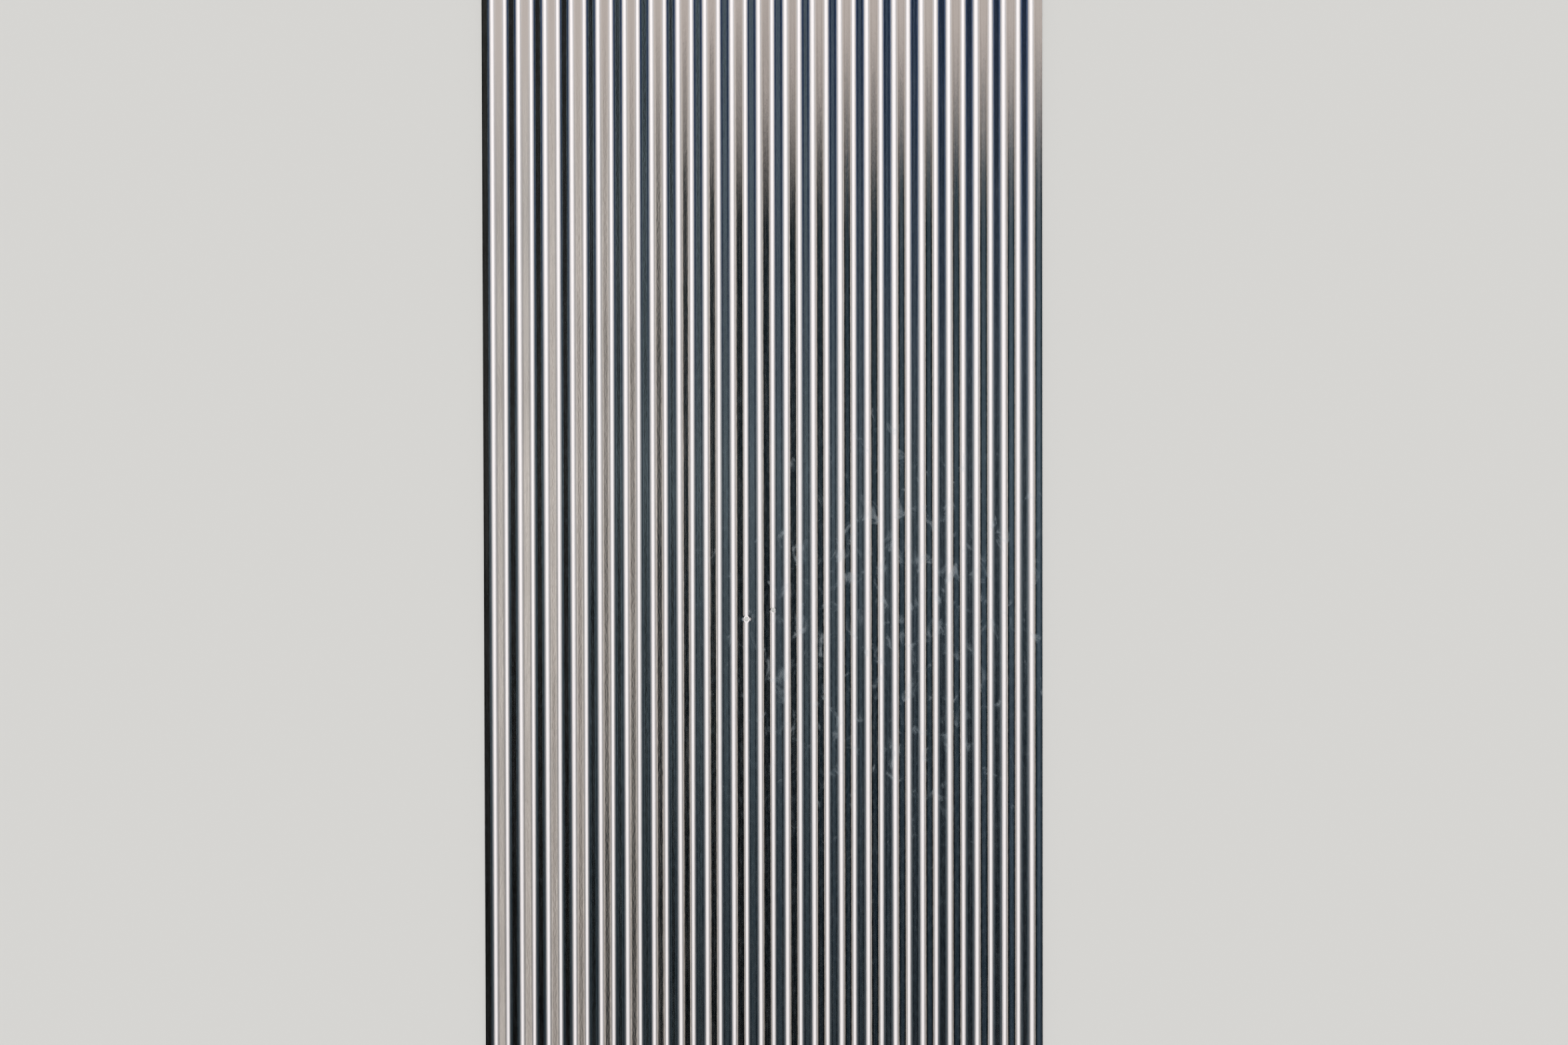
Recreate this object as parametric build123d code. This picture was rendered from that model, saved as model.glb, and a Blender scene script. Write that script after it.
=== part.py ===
from build123d import *
import math
import os

# One roll-formed sheet of bright steel, lying flat with its waves along Y.
# All sizes are in millimetres.

# Section of the waves
pitch = 31.75
wave_depth = 6.35
gauge = 0.5
flank_straight = 6.0

# Cut size of the sheet
sheet_width = 660.4
sheet_length = 2438.4

# Screw holes. Each is drilled through a flat seat that is pressed into the bottom of a valley.
# The metal is bent round the seat, and stays flat for a small margin past the hole.
hole_radius = 2.6
seat_margin = 0.4
seat_bend = 2.0

# Where a screw was driven home: its place in half pitches from the middle crest, odd numbers
# being valleys, its place along the sheet, half the width of its seat, and the length over
# which the seat fades into the valley
screw_half_pitches = -1
screw_along = -114.0
screw_seat_half_width = 5.2
screw_seat_fade = 7.0

# The spare hole in the next valley, whose seat is narrower and shorter
spare_half_pitches = 1
spare_along = -103.0
spare_seat_half_width = 4.4
spare_seat_fade = 3.0

# The section is arcs joined by straight flanks. Its slope and its bends follow from the
# pitch, the depth and the straight stretch, all taken along the middle of the metal.
half_pitch = pitch / 2
middle_depth = wave_depth - gauge
middle_height = wave_depth / 2
flank_angle = 2 * math.atan(middle_depth / (half_pitch + flank_straight))
bend_radius = (half_pitch - flank_straight * math.cos(flank_angle)) / (2 * math.sin(flank_angle))
corner_rise = half_pitch * math.tan(flank_angle) / 2


def corner(number):
    """Where two straight flanks would meet: even numbers are over crests, odd ones under valleys."""
    side = 1 if number % 2 == 0 else -1
    return (number * half_pitch, middle_height + side * corner_rise)


def wave_section():
    """The waves across the sheet, drawn past both long edges and trimmed to the width."""
    reach = 2 * math.ceil(sheet_width / pitch)
    corners = [corner(number) for number in range(-reach, reach + 1)]
    middle = FilletPolyline(*corners, radius=bend_radius)
    waves = make_face(offset(middle, amount=gauge / 2, side=Side.BOTH).edges())
    trim = Pos(0, middle_height) * Rectangle(sheet_width, 2 * wave_depth)
    return waves & trim


def valley_line(low, radius, end):
    """One side of the metal across a plain valley, with its arc in three equal stretches."""
    slope = math.degrees(flank_angle)
    stretch = 2 * slope / 3
    arcs = [CenterArc((0, low + radius), radius, turn * stretch - slope - 90, stretch) for turn in range(3)]
    return [Line((-end[0], end[1]), arcs[0] @ 0), *arcs, Line(arcs[-1] @ 1, end)]


def seat_line(low, half_width, bend, end):
    """The same side of the metal across a seat, with a bend at each end of the flat."""
    left_end = (-end[0], end[1])
    return FilletPolyline(left_end, (-half_width, low), (half_width, low), end, radius=bend).edges()


def metal_between(lower, upper):
    """The section of the metal between its two sides."""
    left = Line(lower[0] @ 0, upper[0] @ 0)
    right = Line(lower[-1] @ 1, upper[-1] @ 1)
    return make_face([*lower, *upper, left, right])


def press_seat(sheet, half_pitches, along, half_width, fade):
    """Presses a flat seat into one valley, as wide as half way up its flanks, and drills it."""
    window = half_pitch / 2
    flank_half = gauge / 2 / math.cos(flank_angle)
    lower_end = (window, middle_height - flank_half)
    upper_end = (window, middle_height + flank_half)
    valley = metal_between(
        valley_line(0, bend_radius + gauge / 2, lower_end),
        valley_line(gauge, bend_radius - gauge / 2, upper_end),
    )
    seat = metal_between(
        seat_line(0, half_width + gauge * math.tan(flank_angle / 2), seat_bend + gauge / 2, lower_end),
        seat_line(gauge, half_width, seat_bend - gauge / 2, upper_end),
    )
    flat = hole_radius + seat_margin
    reach = flat + fade
    pressed = extrude(Plane.XZ * seat, amount=flat, both=True)
    for end in (-1, 1):
        pressed += loft([Plane.XZ.offset(end * flat) * seat, Plane.XZ.offset(end * reach) * valley], ruled=True)
    drill = Pos(0, 0, gauge / 2) * Cylinder(hole_radius, 2 * gauge)
    cut = Pos(0, 0, middle_height) * Box(2 * window, 2 * reach, 2 * wave_depth)
    place = Pos(half_pitches * half_pitch, along, 0)
    return sheet - place * cut + place * (pressed - drill)


sheet = extrude(Plane.XZ * wave_section(), amount=sheet_length / 2, both=True)
sheet = press_seat(sheet, screw_half_pitches, screw_along, screw_seat_half_width, screw_seat_fade)
sheet = press_seat(sheet, spare_half_pitches, spare_along, spare_seat_half_width, spare_seat_fade)

os.makedirs("parts", exist_ok=True)
export_step(sheet, "parts/corrugated_sheet.step")
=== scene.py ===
import math

import bmesh
import bpy
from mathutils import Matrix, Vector


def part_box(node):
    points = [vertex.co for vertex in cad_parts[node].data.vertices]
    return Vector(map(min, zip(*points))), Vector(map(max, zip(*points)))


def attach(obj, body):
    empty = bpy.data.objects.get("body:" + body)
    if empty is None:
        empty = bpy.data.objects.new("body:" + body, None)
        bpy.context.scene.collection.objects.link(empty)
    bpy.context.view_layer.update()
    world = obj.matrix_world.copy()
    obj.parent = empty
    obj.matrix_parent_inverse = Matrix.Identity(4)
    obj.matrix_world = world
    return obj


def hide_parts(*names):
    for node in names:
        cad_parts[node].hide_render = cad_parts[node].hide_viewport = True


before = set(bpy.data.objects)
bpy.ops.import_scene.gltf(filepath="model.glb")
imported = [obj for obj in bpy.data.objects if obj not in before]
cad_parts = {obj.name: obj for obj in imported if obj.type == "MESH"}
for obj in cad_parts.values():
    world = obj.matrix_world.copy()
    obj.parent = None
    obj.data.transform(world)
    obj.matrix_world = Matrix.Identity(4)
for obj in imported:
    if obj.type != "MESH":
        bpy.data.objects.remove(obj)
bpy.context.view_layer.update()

scene = bpy.context.scene
scene.view_settings.view_transform = "Standard"

# The camera looks straight down on the middle of the sheet from 1.57 m, a little to the right
# of it and turned three degrees back to the left, through a 31 mm lens. Both ends of the
# sheet lie outside its view. Its place is in metres and its turn in degrees.
camera_place = (0.1170, 0.0133, 1.5683)
camera_turn = (-0.493, 3.224, -0.130)
camera_data = bpy.data.cameras.new("camera")
camera_data.sensor_width = 36.0
camera_data.lens = 30.6
camera_data.clip_end = 100.0
camera = bpy.data.objects.new("camera", camera_data)
camera.location = camera_place
camera.rotation_euler = [math.radians(angle) for angle in camera_turn]
scene.collection.objects.link(camera)
scene.camera = camera


# The sheet: one piece of thin bright steel, rolled into small arc-and-flank waves along its
# whole length and cut square. Two flat seats are pressed into its valleys, and a round hole is
# drilled through each. The sizes repeat those of the solid.
pitch = 0.03175
depth = 0.00635
gauge = 0.0005
flank_straight = 0.006
hole_radius = 0.0026
sheet_low, sheet_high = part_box("corrugated_sheet")

# Each seat's place across and along the sheet, half the width and half the length of its flat,
# and the height of the lip on the near side of its hole
seats = [
    (-pitch / 2, -0.114, 0.0039, 0.0054, 0.0003),
    (pitch / 2, -0.103, 0.0029, 0.0036, 0.0004),
]

# Spacing of the blank's lines: coarse over the whole sheet, fine where the seats are
coarse_across = pitch / 20
fine_across = 0.0005
coarse_along = 0.036
fine_along = 0.0007


def lines(low, high, fine_bands, coarse_step, fine_step):
    """Places of the blank's lines between two ends, closer together inside the fine bands."""
    stops = [low] + [edge for band in fine_bands for edge in band] + [high]
    places = [low]
    for number, (start, end) in enumerate(zip(stops, stops[1:])):
        count = max(1, round((end - start) / (fine_step if number % 2 else coarse_step)))
        places += [start + (end - start) * step / count for step in range(1, count + 1)]
    return places


# The flat blank, which the node tree below rolls
seat_columns = [(seat[0] - pitch / 4, seat[0] + pitch / 4) for seat in seats]
seats_start = min(seat[1] - seat[3] for seat in seats)
seats_end = max(seat[1] + seat[3] for seat in seats)
columns = lines(sheet_low[0], sheet_high[0], seat_columns, coarse_across, fine_across)
rows = lines(sheet_low[1], sheet_high[1], [(seats_start, seats_end)], coarse_along, fine_along)
spots = [(across, along, gauge) for along in rows for across in columns]
wide = len(columns)
cells = [(r * wide + c, r * wide + c + 1, (r + 1) * wide + c + 1, (r + 1) * wide + c)
         for r in range(len(rows) - 1) for c in range(wide - 1)]
blank_mesh = bpy.data.meshes.new("blank")
blank_mesh.from_pydata(spots, [], cells)
blank = bpy.data.objects.new("blank", blank_mesh)
scene.collection.objects.link(blank)


def add(tree, kind, *values, sockets=None, out=0, **settings):
    """Adds a node with its settings, feeds its sockets values or links, and gives one output."""
    made = tree.nodes.new(kind)
    for name, value in settings.items():
        setattr(made, name, value)
    for key, value in [*enumerate(values), *(sockets or {}).items()]:
        if isinstance(value, bpy.types.NodeSocket):
            tree.links.new(value, made.inputs[key])
        else:
            made.inputs[key].default_value = value
    return made.outputs[out]


# The tree rolls the flat blank: it lifts every point to the height of the sheet's upper side.
# The straight part of a flank varies by the spread, and is longer by the flattening on the
# left side. The fullness is a share of the bends, and the unevenness a share of the depth.
roll_sizes = {
    "Pitch": pitch,
    "Depth": depth,
    "Gauge": gauge,
    "Straight Flank": flank_straight,
    "Flank Spread": 0.0012,
    "Left Flattening": 0.0017,
    "Crest Fullness": 1.05,
    "Wander": 0.0004,
    "Unevenness": 0.02,
    "Hole Radius": hole_radius,
    "Seat Wall Slope": 1.0,
    "Seat Bend": 0.0005,
    "Lip Width": 0.0008,
    "Lip Reach": 0.002,
}
roll = bpy.data.node_groups.new("roll_the_waves", "GeometryNodeTree")
roll.interface.new_socket("Geometry", in_out="OUTPUT", socket_type="NodeSocketGeometry")
roll.interface.new_socket("Geometry", in_out="INPUT", socket_type="NodeSocketGeometry")
roll_keys = {}
for name in roll_sizes:
    size_socket = roll.interface.new_socket(name, in_out="INPUT", socket_type="NodeSocketFloat")
    roll_keys[name] = size_socket.identifier
given = roll.nodes.new("NodeGroupInput").outputs
point = roll.nodes.new("ShaderNodeSeparateXYZ")
roll.links.new(add(roll, "GeometryNodeInputPosition"), point.inputs[0])
across, along = point.outputs["X"], point.outputs["Y"]

# Every wave lies a hair off its place, as the rolls left it, all along the sheet.
wander_scale = 11.0
roll_error = add(roll, "ShaderNodeTexNoise", noise_dimensions="1D",
                 sockets={"W": across, "Scale": wander_scale, "Detail": 1.0})
error = add(roll, "ShaderNodeMath", roll_error, 0.5, operation="SUBTRACT")
wander = add(roll, "ShaderNodeMath", given["Wander"], 2.0, operation="MULTIPLY")
wandered = add(roll, "ShaderNodeMath", error, wander, across, operation="MULTIPLY_ADD")
half = add(roll, "ShaderNodeMath", given["Pitch"], 0.5, operation="MULTIPLY")

# Every flank is a little steeper or flatter than the next, and changes slowly along the sheet.
flank_seed = 0.37
change_per_flank = 0.7
change_per_metre = 5.0
flank_place = add(roll, "ShaderNodeMath", wandered, half, operation="DIVIDE")
flank_number = add(roll, "ShaderNodeMath", flank_place, operation="FLOOR")
seed = add(roll, "ShaderNodeMath", flank_number, flank_seed, operation="ADD")
own_odds = add(roll, "ShaderNodeTexWhiteNoise", sockets={"W": seed}, noise_dimensions="1D")
slow_across = add(roll, "ShaderNodeMath", flank_number, change_per_flank, operation="MULTIPLY")
slow_along = add(roll, "ShaderNodeMath", along, change_per_metre, operation="MULTIPLY")
slow_place = add(roll, "ShaderNodeCombineXYZ", slow_across, slow_along)
slow_odds = add(roll, "ShaderNodeTexNoise",
                sockets={"Vector": slow_place, "Scale": 1.0, "Detail": 1.0})
both_odds = add(roll, "ShaderNodeMath", own_odds, slow_odds, operation="ADD")
odds = add(roll, "ShaderNodeMath", both_odds, 1.0, operation="SUBTRACT")
own_straight = add(roll, "ShaderNodeMath", odds, given["Flank Spread"], given["Straight Flank"],
                   operation="MULTIPLY_ADD")

# The left side came out of the rolls a little flatter than the rest. This fades out between
# these two places across the sheet.
flattest_across = -0.17
level_across = 0.08
flatter = add(roll, "ShaderNodeMapRange", across, flattest_across, level_across,
              given["Left Flattening"], 0.0)
straight = add(roll, "ShaderNodeMath", own_straight, flatter, operation="ADD")

# The slope and the bends follow from the pitch, the depth and the straight stretch.
middle_depth = add(roll, "ShaderNodeMath", given["Depth"], given["Gauge"], operation="SUBTRACT")
corner_run = add(roll, "ShaderNodeMath", half, straight, operation="ADD")
half_angle = add(roll, "ShaderNodeMath", middle_depth, corner_run, operation="ARCTAN2")
angle = add(roll, "ShaderNodeMath", half_angle, 2.0, operation="MULTIPLY")
sine = add(roll, "ShaderNodeMath", angle, operation="SINE")
cosine = add(roll, "ShaderNodeMath", angle, operation="COSINE")
slope = add(roll, "ShaderNodeMath", angle, operation="TANGENT")
flank_run = add(roll, "ShaderNodeMath", straight, cosine, operation="MULTIPLY")
bend_run = add(roll, "ShaderNodeMath", half, flank_run, operation="SUBTRACT")
both_bends = add(roll, "ShaderNodeMath", bend_run, sine, operation="DIVIDE")
half_fullness = add(roll, "ShaderNodeMath", given["Crest Fullness"], 0.5, operation="MULTIPLY")
half_gauge = add(roll, "ShaderNodeMath", given["Gauge"], 0.5, operation="MULTIPLY")
crest_bend = add(roll, "ShaderNodeMath", both_bends, half_fullness, half_gauge,
                 operation="MULTIPLY_ADD")
valley_bend = add(roll, "ShaderNodeMath", both_bends, crest_bend, operation="SUBTRACT")
crest_end = add(roll, "ShaderNodeMath", crest_bend, sine, operation="MULTIPLY")
valley_run = add(roll, "ShaderNodeMath", valley_bend, sine, operation="MULTIPLY")
valley_start = add(roll, "ShaderNodeMath", half, valley_run, operation="SUBTRACT")

# Going out from the nearest crest, the metal drops over the crest's arc, down the flank and
# round the valley's arc.
from_crest = add(roll, "ShaderNodeMath", wandered, half, operation="PINGPONG")
in_crest = add(roll, "ShaderNodeMath", from_crest, crest_end, operation="MINIMUM")
crest_share = add(roll, "ShaderNodeMath", in_crest, crest_bend, operation="DIVIDE")
crest_turn = add(roll, "ShaderNodeMath", crest_share, operation="ARCSINE")
crest_cosine = add(roll, "ShaderNodeMath", crest_turn, operation="COSINE")
crest_top = add(roll, "ShaderNodeMath", given["Depth"], crest_bend, operation="SUBTRACT")
on_crest = add(roll, "ShaderNodeMath", crest_cosine, crest_bend, crest_top,
               operation="MULTIPLY_ADD")
past_crest = add(roll, "ShaderNodeMath", from_crest, crest_end, operation="MAXIMUM")
before_valley = add(roll, "ShaderNodeMath", past_crest, valley_start, operation="MINIMUM")
on_flank = add(roll, "ShaderNodeMath", before_valley, crest_end, operation="SUBTRACT")
flank_drop = add(roll, "ShaderNodeMath", on_flank, slope, operation="MULTIPLY")
past_flank = add(roll, "ShaderNodeMath", from_crest, valley_start, operation="MAXIMUM")
to_valley = add(roll, "ShaderNodeMath", half, past_flank, operation="SUBTRACT")
valley_share = add(roll, "ShaderNodeMath", to_valley, valley_bend, operation="DIVIDE")
valley_turn = add(roll, "ShaderNodeMath", valley_share, operation="ARCSINE")
valley_cosine = add(roll, "ShaderNodeMath", valley_turn, operation="COSINE")
valley_fall = add(roll, "ShaderNodeMath", valley_cosine, cosine, operation="SUBTRACT")
valley_drop = add(roll, "ShaderNodeMath", valley_fall, valley_bend, operation="MULTIPLY")
both_drops = add(roll, "ShaderNodeMath", flank_drop, valley_drop, operation="ADD")
wave = add(roll, "ShaderNodeMath", on_crest, both_drops, operation="SUBTRACT")

# The waves are never quite full depth, and the valleys clear the ground by a hundredth of a
# millimetre, so that all of the metal lies inside the solid's box.
depth_scale = 9.0
most_depth = 0.996
valley_gauges = 1.02
uneven_place = add(roll, "ShaderNodeCombineXYZ", across, along)
uneven = add(roll, "ShaderNodeTexNoise",
             sockets={"Vector": uneven_place, "Scale": depth_scale, "Detail": 1.0})
loss = add(roll, "ShaderNodeMath", uneven, given["Unevenness"], operation="MULTIPLY")
kept = add(roll, "ShaderNodeMath", most_depth, loss, operation="SUBTRACT")
above_valley = add(roll, "ShaderNodeMath", wave, given["Gauge"], operation="SUBTRACT")
valley_top = add(roll, "ShaderNodeMath", given["Gauge"], valley_gauges, operation="MULTIPLY")
height = add(roll, "ShaderNodeMath", above_valley, kept, valley_top, operation="MULTIPLY_ADD")

# Each seat is a dish with a flat floor, pressed in wherever it lies lower than the wave.
# The drill pushed up a thin lip on the near side of the hole.
lip_reach = add(roll, "ShaderNodeMath", given["Lip Reach"], -1.0, operation="MULTIPLY")
for seat_across, seat_along, half_width, half_length, lip in seats:
    off_across = add(roll, "ShaderNodeMath", wandered, seat_across, operation="SUBTRACT")
    sideways = add(roll, "ShaderNodeMath", off_across, operation="ABSOLUTE")
    off_along = add(roll, "ShaderNodeMath", along, seat_along, operation="SUBTRACT")
    end_share = add(roll, "ShaderNodeMath", off_along, half_length, operation="DIVIDE")
    end_fall = add(roll, "ShaderNodeMath", end_share, end_share, operation="MULTIPLY")
    left_over = add(roll, "ShaderNodeMath", 1.0, end_fall, operation="SUBTRACT")
    narrowed = add(roll, "ShaderNodeMath", left_over, half_width, operation="MULTIPLY")
    past_flat = add(roll, "ShaderNodeMath", sideways, narrowed, operation="SUBTRACT")
    outside = add(roll, "ShaderNodeMath", past_flat, 0.0, operation="MAXIMUM")
    dish = add(roll, "ShaderNodeMath", outside, given["Seat Wall Slope"], valley_top,
               operation="MULTIPLY_ADD")
    height = add(roll, "ShaderNodeMath", height, dish, given["Seat Bend"],
                 operation="SMOOTH_MIN")
    off_centre = add(roll, "ShaderNodeCombineXYZ", off_across, off_along)
    radius = add(roll, "ShaderNodeVectorMath", off_centre, operation="LENGTH", out="Value")
    past_rim = add(roll, "ShaderNodeMath", radius, given["Hole Radius"], operation="SUBTRACT")
    rim_share = add(roll, "ShaderNodeMath", past_rim, given["Lip Width"], operation="DIVIDE")
    rim_fall = add(roll, "ShaderNodeMath", rim_share, rim_share, operation="MULTIPLY")
    rim_less = add(roll, "ShaderNodeMath", rim_fall, -1.0, operation="MULTIPLY")
    rim = add(roll, "ShaderNodeMath", rim_less, operation="EXPONENT")
    near_side = add(roll, "ShaderNodeMapRange", off_along, given["Lip Reach"], lip_reach, 0.0, lip)
    height = add(roll, "ShaderNodeMath", rim, near_side, height, operation="MULTIPLY_ADD")
height = add(roll, "ShaderNodeMath", height, valley_top, operation="MAXIMUM")
lifted = add(roll, "ShaderNodeCombineXYZ", across, along, height)
rolled = add(roll, "GeometryNodeSetPosition",
             sockets={"Geometry": given["Geometry"], "Position": lifted})
smooth = add(roll, "GeometryNodeSetShadeSmooth", rolled)


def linear(hex_colour):
    """An sRGB hex colour as linear red, green, blue and alpha."""
    channels = [int(hex_colour[place:place + 2], 16) / 255 for place in (1, 3, 5)]
    return [c / 12.92 if c <= 0.04045 else ((c + 0.055) / 1.055) ** 2.4 for c in channels] + [1.0]


# Bright cold-rolled steel: polished rolls leave it almost a mirror, with faint dimples and
# fine lines along the sheet. Hands have left hazy bluish smudges on the right half.
steel = bpy.data.materials.new("bright_rolled_steel")
steel.use_nodes = True
finish = steel.node_tree
finish.nodes.clear()
on_sheet = add(finish, "ShaderNodeTexCoord", out="Object")

# Roll lines: about 1.5 mm apart and 60 mm long, coarser than the real ones so that they show.
# The roughness goes from 0.04 between them to 0.13 in them.
line_apart = 0.0015
line_long = 0.06
line_depth = 0.00001
line_place = add(finish, "ShaderNodeMapping", on_sheet,
                 sockets={"Scale": (1 / line_apart, 1 / line_long, 1 / line_apart)})
roll_lines = add(finish, "ShaderNodeTexNoise",
                 sockets={"Vector": line_place, "Scale": 1.0, "Detail": 2.0})
line_rough = add(finish, "ShaderNodeMapRange", roll_lines, 0.3, 0.7, 0.04, 0.13)
line_bump = add(finish, "ShaderNodeBump",
                sockets={"Height": roll_lines, "Distance": line_depth, "Strength": 1.0})

# Dimples: shallow hollows about 2 mm wide and 8 mm long, which make the mirrored walls quiver
dimple_wide = 0.002
dimple_long = 0.008
dimple_depth = 0.00003
dimple_place = add(finish, "ShaderNodeMapping", on_sheet,
                   sockets={"Scale": (1 / dimple_wide, 1 / dimple_long, 1 / dimple_wide)})
dimples = add(finish, "ShaderNodeTexNoise",
              sockets={"Vector": dimple_place, "Scale": 1.0, "Detail": 2.0})
dimple_bump = add(finish, "ShaderNodeBump",
                  sockets={"Height": dimples, "Distance": dimple_depth, "Strength": 1.0,
                           "Normal": line_bump})

# Smudges: soft patches of grease about 18 mm wide and 26 mm long, thickest round one spot right
# of the middle and gone about 0.4 m from it. They scatter a little bluish light and blur what
# the metal mirrors.
smear_wide = 0.018
smear_long = 0.026
smear_turn = 0.3
hand_middle = (0.15, -0.12)
hand_spread = (0.31, 0.38)
smear_place = add(finish, "ShaderNodeMapping", on_sheet,
                  sockets={"Rotation": (0.0, 0.0, smear_turn),
                           "Scale": (1 / smear_wide, 1 / smear_long, 0.0)})
smears = add(finish, "ShaderNodeTexNoise",
             sockets={"Vector": smear_place, "Scale": 1.0, "Detail": 3.0, "Roughness": 0.6,
                      "Distortion": 0.7})
hand_shift = (-hand_middle[0] / hand_spread[0], -hand_middle[1] / hand_spread[1], 0.0)
hand_place = add(finish, "ShaderNodeMapping", on_sheet,
                 sockets={"Location": hand_shift,
                          "Scale": (1 / hand_spread[0], 1 / hand_spread[1], 0.0)})
hand_reach = add(finish, "ShaderNodeVectorMath", hand_place, operation="LENGTH", out="Value")
hand_limit = add(finish, "ShaderNodeMapRange", hand_reach, 0.3, 1.1, 0.53, 0.72,
                 interpolation_type="SMOOTHSTEP")
smear_over = add(finish, "ShaderNodeMath", smears, hand_limit, operation="SUBTRACT")
smudge = add(finish, "ShaderNodeMapRange", smear_over, 0.0, 0.22, 0.0, 1.0,
             interpolation_type="SMOOTHSTEP")

# Handling film: faint short streaks of the same grease, 3.5 mm wide and 10 mm long, which thin
# out away from the smudges
streak_wide = 0.0035
streak_long = 0.01
film_place = add(finish, "ShaderNodeMapping", on_sheet,
                 sockets={"Scale": (1 / streak_wide, 1 / streak_long, 0.0)})
film = add(finish, "ShaderNodeTexNoise",
           sockets={"Vector": film_place, "Scale": 1.0, "Detail": 1.0})
film_most = add(finish, "ShaderNodeMapRange", hand_reach, 0.7, 1.7, 0.035, 0.01)
film_share = add(finish, "ShaderNodeMapRange", film, 0.45, 0.75, 0.0, film_most)

# Where a smudge is thickest, the grease covers 18 % of the metal and adds 0.2 to its roughness.
smudge_cover = 0.18
smudge_haze = 0.20
grease_share = add(finish, "ShaderNodeMath", smudge, smudge_cover, film_share,
                   operation="MULTIPLY_ADD")
grease = add(finish, "ShaderNodeBsdfDiffuse", linear("#A9BECB"))
rough = add(finish, "ShaderNodeMath", smudge, smudge_haze, line_rough, operation="MULTIPLY_ADD")
metal = add(finish, "ShaderNodeBsdfPrincipled",
            sockets={"Base Color": linear("#EEECEA"), "Metallic": 1.0, "Roughness": rough,
                     "Normal": dimple_bump})
surface = add(finish, "ShaderNodeMixShader", grease_share, metal, grease)
steel_out = finish.nodes.new("ShaderNodeOutputMaterial")
finish.links.new(surface, steel_out.inputs["Surface"])

real = add(roll, "GeometryNodeRealizeInstances", smooth)
dressed = add(roll, "GeometryNodeSetMaterial", sockets={"Geometry": real, "Material": steel})
roll_out = roll.nodes.new("NodeGroupOutput")
roll.links.new(dressed, roll_out.inputs[0])
rolling = blank.modifiers.new("rolling", "NODES")
rolling.node_group = roll
for name, value in roll_sizes.items():
    rolling[roll_keys[name]] = value

# The metal's thickness lies below its upper side, and the drill goes through both seats.
wall = blank.modifiers.new("wall", "SOLIDIFY")
wall.thickness = gauge
wall.offset = -1.0
wall.use_even_offset = True
drill_sides = 64
drill_length = 8 * gauge
drill_shape = bmesh.new()
for seat in seats:
    made = bmesh.ops.create_cone(drill_shape, cap_ends=True, segments=drill_sides,
                                 radius1=hole_radius, radius2=hole_radius, depth=drill_length)
    bmesh.ops.translate(drill_shape, verts=made["verts"], vec=Vector((seat[0], seat[1], 0.0)))
drill_mesh = bpy.data.meshes.new("drill")
drill_shape.to_mesh(drill_mesh)
drill_shape.free()
drill = bpy.data.objects.new("drill", drill_mesh)
scene.collection.objects.link(drill)
drilling = blank.modifiers.new("drilling", "BOOLEAN")
drilling.operation = "DIFFERENCE"
drilling.solver = "EXACT"
drilling.object = drill

evaluated = blank.evaluated_get(bpy.context.evaluated_depsgraph_get())
sheet_mesh = bpy.data.meshes.new_from_object(evaluated)
sheet_mesh.name = "sheet"
bpy.data.objects.remove(blank)
bpy.data.objects.remove(drill)
sheet_mesh.materials.clear()
sheet_mesh.materials.append(steel)

# Round the holes the drill left faces with many corners. They are split from their middles,
# which keeps the metal a closed shell.
weld_distance = 0.00003
shell = bmesh.new()
shell.from_mesh(sheet_mesh)
bmesh.ops.remove_doubles(shell, verts=shell.verts, dist=weld_distance)
bmesh.ops.poke(shell, faces=[face for face in shell.faces if len(face.verts) > 4])
shell.to_mesh(sheet_mesh)
shell.free()
sheet_mesh.set_sharp_from_angle(angle=math.radians(50))
sheet = bpy.data.objects.new("sheet", sheet_mesh)
scene.collection.objects.link(sheet)
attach(sheet, "root")
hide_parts("corrugated_sheet")


# The floor: pale matt studio paint under the sheet and far past it on all sides.
floor_reach = 30.0
floor_colour = linear("#D6D5D2")
floor_mesh = bpy.data.meshes.new("floor")
floor_corners = [(-floor_reach, -floor_reach, 0.0), (floor_reach, -floor_reach, 0.0),
                 (floor_reach, floor_reach, 0.0), (-floor_reach, floor_reach, 0.0)]
floor_mesh.from_pydata(floor_corners, [], [(0, 1, 2, 3)])
floor = bpy.data.objects.new("floor", floor_mesh)
scene.collection.objects.link(floor)
paint = bpy.data.materials.new("pale_matt_paint")
paint.use_nodes = True
paint.node_tree.nodes["Principled BSDF"].inputs["Base Color"].default_value = floor_colour
paint.node_tree.nodes["Principled BSDF"].inputs["Roughness"].default_value = 0.9
floor_mesh.materials.append(paint)


# The studio: matt things are lit by an even pale dome. The metal mirrors a long white strip
# light overhead, a grey card on its right, slate walls on both sides, and a beige panel at the
# head. Past these the studio is plain grey.
studio = bpy.data.worlds.new("studio")
scene.world = studio
studio.use_nodes = True
dome = studio.node_tree
dome.nodes.clear()

# Every tone follows two angles: lean goes sideways off the zenith and is positive on the right,
# and rise goes along the sheet and is positive towards the head.
facing = dome.nodes.new("ShaderNodeSeparateXYZ")
direction = add(dome, "ShaderNodeTexCoord", out="Generated")
dome.links.new(direction, facing.inputs[0])
lean = add(dome, "ShaderNodeMath", facing.outputs["X"], facing.outputs["Z"], operation="ARCTAN2")
rise = add(dome, "ShaderNodeMath", facing.outputs["Y"], operation="ARCSINE")
foot_end = math.radians(-20)
head_end = math.radians(20)

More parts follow.
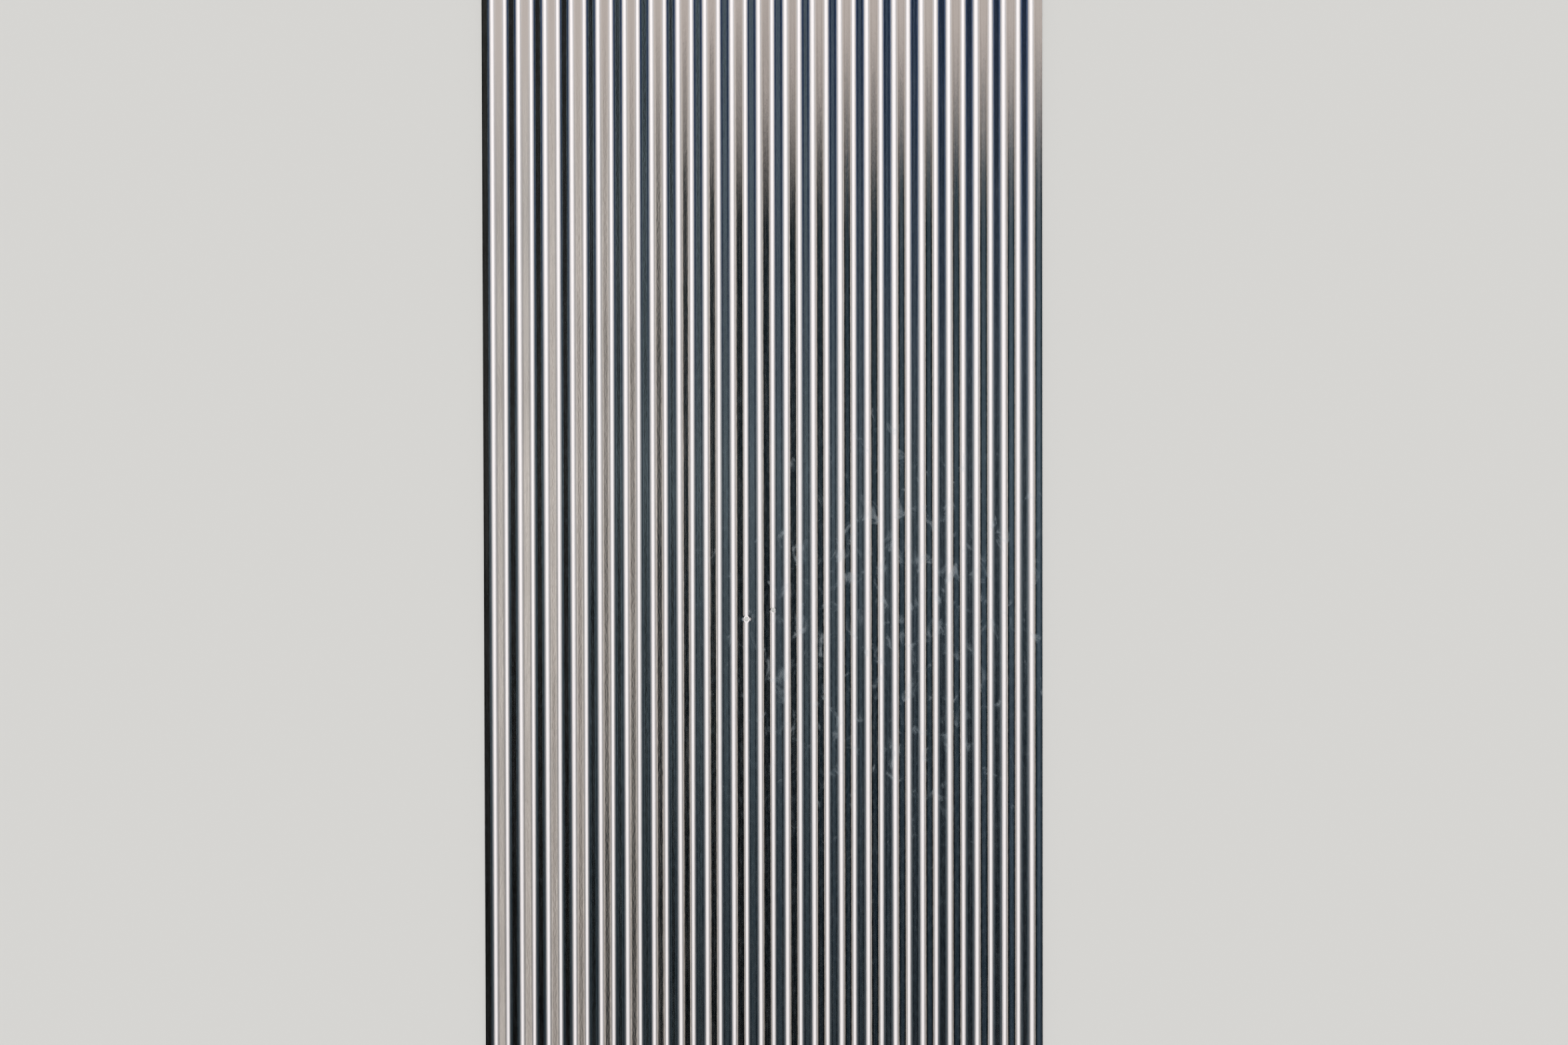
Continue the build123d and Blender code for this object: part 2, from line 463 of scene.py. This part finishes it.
# The walls by lean in degrees, from left to right. On the right they open out towards the head.
left_end = [(-90, "#B4B8BC"), (-80, "#1E1A15"), (-73, "#2A2A28"), (-70, "#1C1C1B")]
left_slates = [(-65.2, "#16181A"), (-63.7, "#343E42"), (-62.4, "#4E5A60"), (-61, "#46525A"),
               (-58, "#38434B"), (-54, "#262F36"), (-51.5, "#283138"), (-49, "#3A444B"),
               (-43, "#646C72")]
behind_strip = [(0, "#3C4144"), (25, "#444646"), (31, "#6A6867")]
card = [(36, "#8A8784"), (38.4, "#A5A09B"), (40.6, "#C4BEB9"), (42.6, "#A69F9A"),
        (45, "#85807B")]
right_slates = [(46.2, "#504F4E"), (47.9, "#1D2528"), (51, "#0D1519"), (55, "#152026"),
                (60, "#293740"), (65, "#3D4B55"), (70, "#4E5D6B")]
right_end = [(78, "#78848E"), (90, "#B4B8BC")]
tones = left_end + left_slates + behind_strip + card + right_slates + right_end
opening = -0.1
right_lean = add(dome, "ShaderNodeMath", lean, 0.0, operation="MAXIMUM")
right_rise = add(dome, "ShaderNodeMath", right_lean, rise, operation="MULTIPLY")
opened = add(dome, "ShaderNodeMath", right_rise, opening, lean, operation="MULTIPLY_ADD")
spread = add(dome, "ShaderNodeMapRange", opened, -math.pi / 2, math.pi / 2, 0.0, 1.0)
walls = dome.nodes.new("ShaderNodeValToRGB")
dome.links.new(spread, walls.inputs[0])
elements = walls.color_ramp.elements
while len(elements) < len(tones):
    elements.new(0.5)
for element, (tone_angle, tone) in zip(elements, tones):
    element.position = (tone_angle + 90) / 180
    element.color = linear(tone)

# They darken towards the foot, the card less than the slates.
card_lean = math.radians(40)
from_card = add(dome, "ShaderNodeMath", lean, card_lean, operation="SUBTRACT")
card_off = add(dome, "ShaderNodeMath", from_card, operation="ABSOLUTE")
foot_most = add(dome, "ShaderNodeMapRange", card_off, math.radians(4), math.radians(8), 1.12, 1.4)
foot = add(dome, "ShaderNodeMapRange", rise, 0.0, foot_end, 1.0, foot_most)
darker = add(dome, "ShaderNodeGamma", walls.outputs["Color"], foot)

# They are faintly patchy, as painted boards are. A colour Mix node has its share at input 0,
# its two colours at 6 and 7, and its result at output 2.
patches = add(dome, "ShaderNodeTexNoise",
              sockets={"Vector": direction, "Scale": 14.0, "Detail": 2.0})
patchy = add(dome, "ShaderNodeMapRange", patches, 0.3, 0.7, 0.8, 1.2)
mottled = add(dome, "ShaderNodeMix", sockets={0: 1.0, 6: darker, 7: patchy}, out=2,
              data_type="RGBA", blend_type="MULTIPLY")

# The upper part of the left wall turns bluer towards the head.
upper_lean = math.radians(-48)
from_upper = add(dome, "ShaderNodeMath", lean, upper_lean, operation="SUBTRACT")
upper_off = add(dome, "ShaderNodeMath", from_upper, operation="ABSOLUTE")
upper_share = add(dome, "ShaderNodeMapRange", upper_off, math.radians(8), math.radians(15),
                  1.0, 0.0)
blue_share = add(dome, "ShaderNodeMapRange", rise, math.radians(2), head_end, 0.0, upper_share)
blued = add(dome, "ShaderNodeMix", sockets={0: blue_share, 6: mottled, 7: linear("#A8C6FF")},
            out=2, data_type="RGBA", blend_type="MULTIPLY")

# The beige panel fills the head end on the right. Its lower edge is ragged.
rag_depth = math.radians(10)
rag_place = add(dome, "ShaderNodeMapping", direction, sockets={"Scale": (60.0, 4.0, 20.0)})
rags = add(dome, "ShaderNodeTexNoise",
           sockets={"Vector": rag_place, "Scale": 1.0, "Detail": 1.0})
ragged = add(dome, "ShaderNodeMath", rags, rag_depth, rise, operation="MULTIPLY_ADD")
head = add(dome, "ShaderNodeMapRange", ragged, math.radians(17.5), math.radians(26), 0.0, 1.0,
           interpolation_type="SMOOTHSTEP")
right_side = add(dome, "ShaderNodeMapRange", lean, math.radians(24), math.radians(34), 0.0, 1.0,
                 interpolation_type="SMOOTHSTEP")
panel = add(dome, "ShaderNodeMath", head, right_side, operation="MULTIPLY")
panelled = add(dome, "ShaderNodeMix", sockets={0: panel, 6: blued, 7: linear("#B4ABA6")},
               out=2, data_type="RGBA")

# The walls and the panel end about 30 degrees along, and greys go on from there.
lengthways_off = add(dome, "ShaderNodeMath", rise, operation="ABSOLUTE")
past_walls = add(dome, "ShaderNodeMapRange", lengthways_off, math.radians(25), math.radians(36),
                 0.0, 1.0, interpolation_type="SMOOTHSTEP")
to_head = add(dome, "ShaderNodeMapRange", rise, math.radians(-30), math.radians(30), 0.0, 1.0)
ends = add(dome, "ShaderNodeMix",
           sockets={0: to_head, 6: linear("#6E7276"), 7: linear("#A3A8AD")},
           out=2, data_type="RGBA")
enclosed = add(dome, "ShaderNodeMix", sockets={0: past_walls, 6: panelled, 7: ends},
               out=2, data_type="RGBA")

# The strip light is a soft-edged band that grows narrower and a little dimmer towards the foot.
strip_core = math.radians(1.5)
strip_full = math.radians(12)
strip_middle = add(dome, "ShaderNodeMapRange", rise, foot_end, head_end,
                   math.radians(2.5), math.radians(-0.8))
off_middle = add(dome, "ShaderNodeMath", lean, strip_middle, operation="SUBTRACT")
sideways_off = add(dome, "ShaderNodeMath", off_middle, operation="ABSOLUTE")
strip_edge = add(dome, "ShaderNodeMapRange", rise, foot_end, strip_full,
                 math.radians(39), math.radians(47))
strip = add(dome, "ShaderNodeMapRange", sideways_off, strip_core, strip_edge, 1.0, 0.0,
            interpolation_type="SMOOTHSTEP")
strip_level = add(dome, "ShaderNodeMapRange", rise, foot_end, strip_full, 0.90, 1.02)
strip_white = add(dome, "ShaderNodeMix",
                  sockets={0: strip_level, 6: linear("#000000"), 7: linear("#FFFBFD")},
                  out=2, data_type="RGBA", clamp_factor=False)
lit = add(dome, "ShaderNodeMix", sockets={0: strip, 6: enclosed, 7: strip_white},
          out=2, data_type="RGBA")
past_all = add(dome, "ShaderNodeMapRange", lengthways_off, math.radians(65), math.radians(80),
               0.0, 1.0, interpolation_type="SMOOTHSTEP")
mirrored = add(dome, "ShaderNodeMix", sockets={0: past_all, 6: lit, 7: linear("#A8A9AA")},
               out=2, data_type="RGBA")

# Metal mirrors the room, and matt things are lit by the even dome. Behind the floor's edge the
# camera sees the same pale paint as on the floor.
room_strength = 1.18
room = add(dome, "ShaderNodeBackground", mirrored, room_strength)
even = add(dome, "ShaderNodeBackground", linear("#FFFFFF"), 1.0)
glossy = add(dome, "ShaderNodeLightPath", out="Is Glossy Ray")
lighting = add(dome, "ShaderNodeMixShader", glossy, even, room)
backdrop = add(dome, "ShaderNodeBackground", floor_colour, 1.0)
camera_ray = add(dome, "ShaderNodeLightPath", out="Is Camera Ray")
seen = add(dome, "ShaderNodeMixShader", camera_ray, lighting, backdrop)
studio_out = dome.nodes.new("ShaderNodeOutputWorld")
dome.links.new(seen, studio_out.inputs["Surface"])
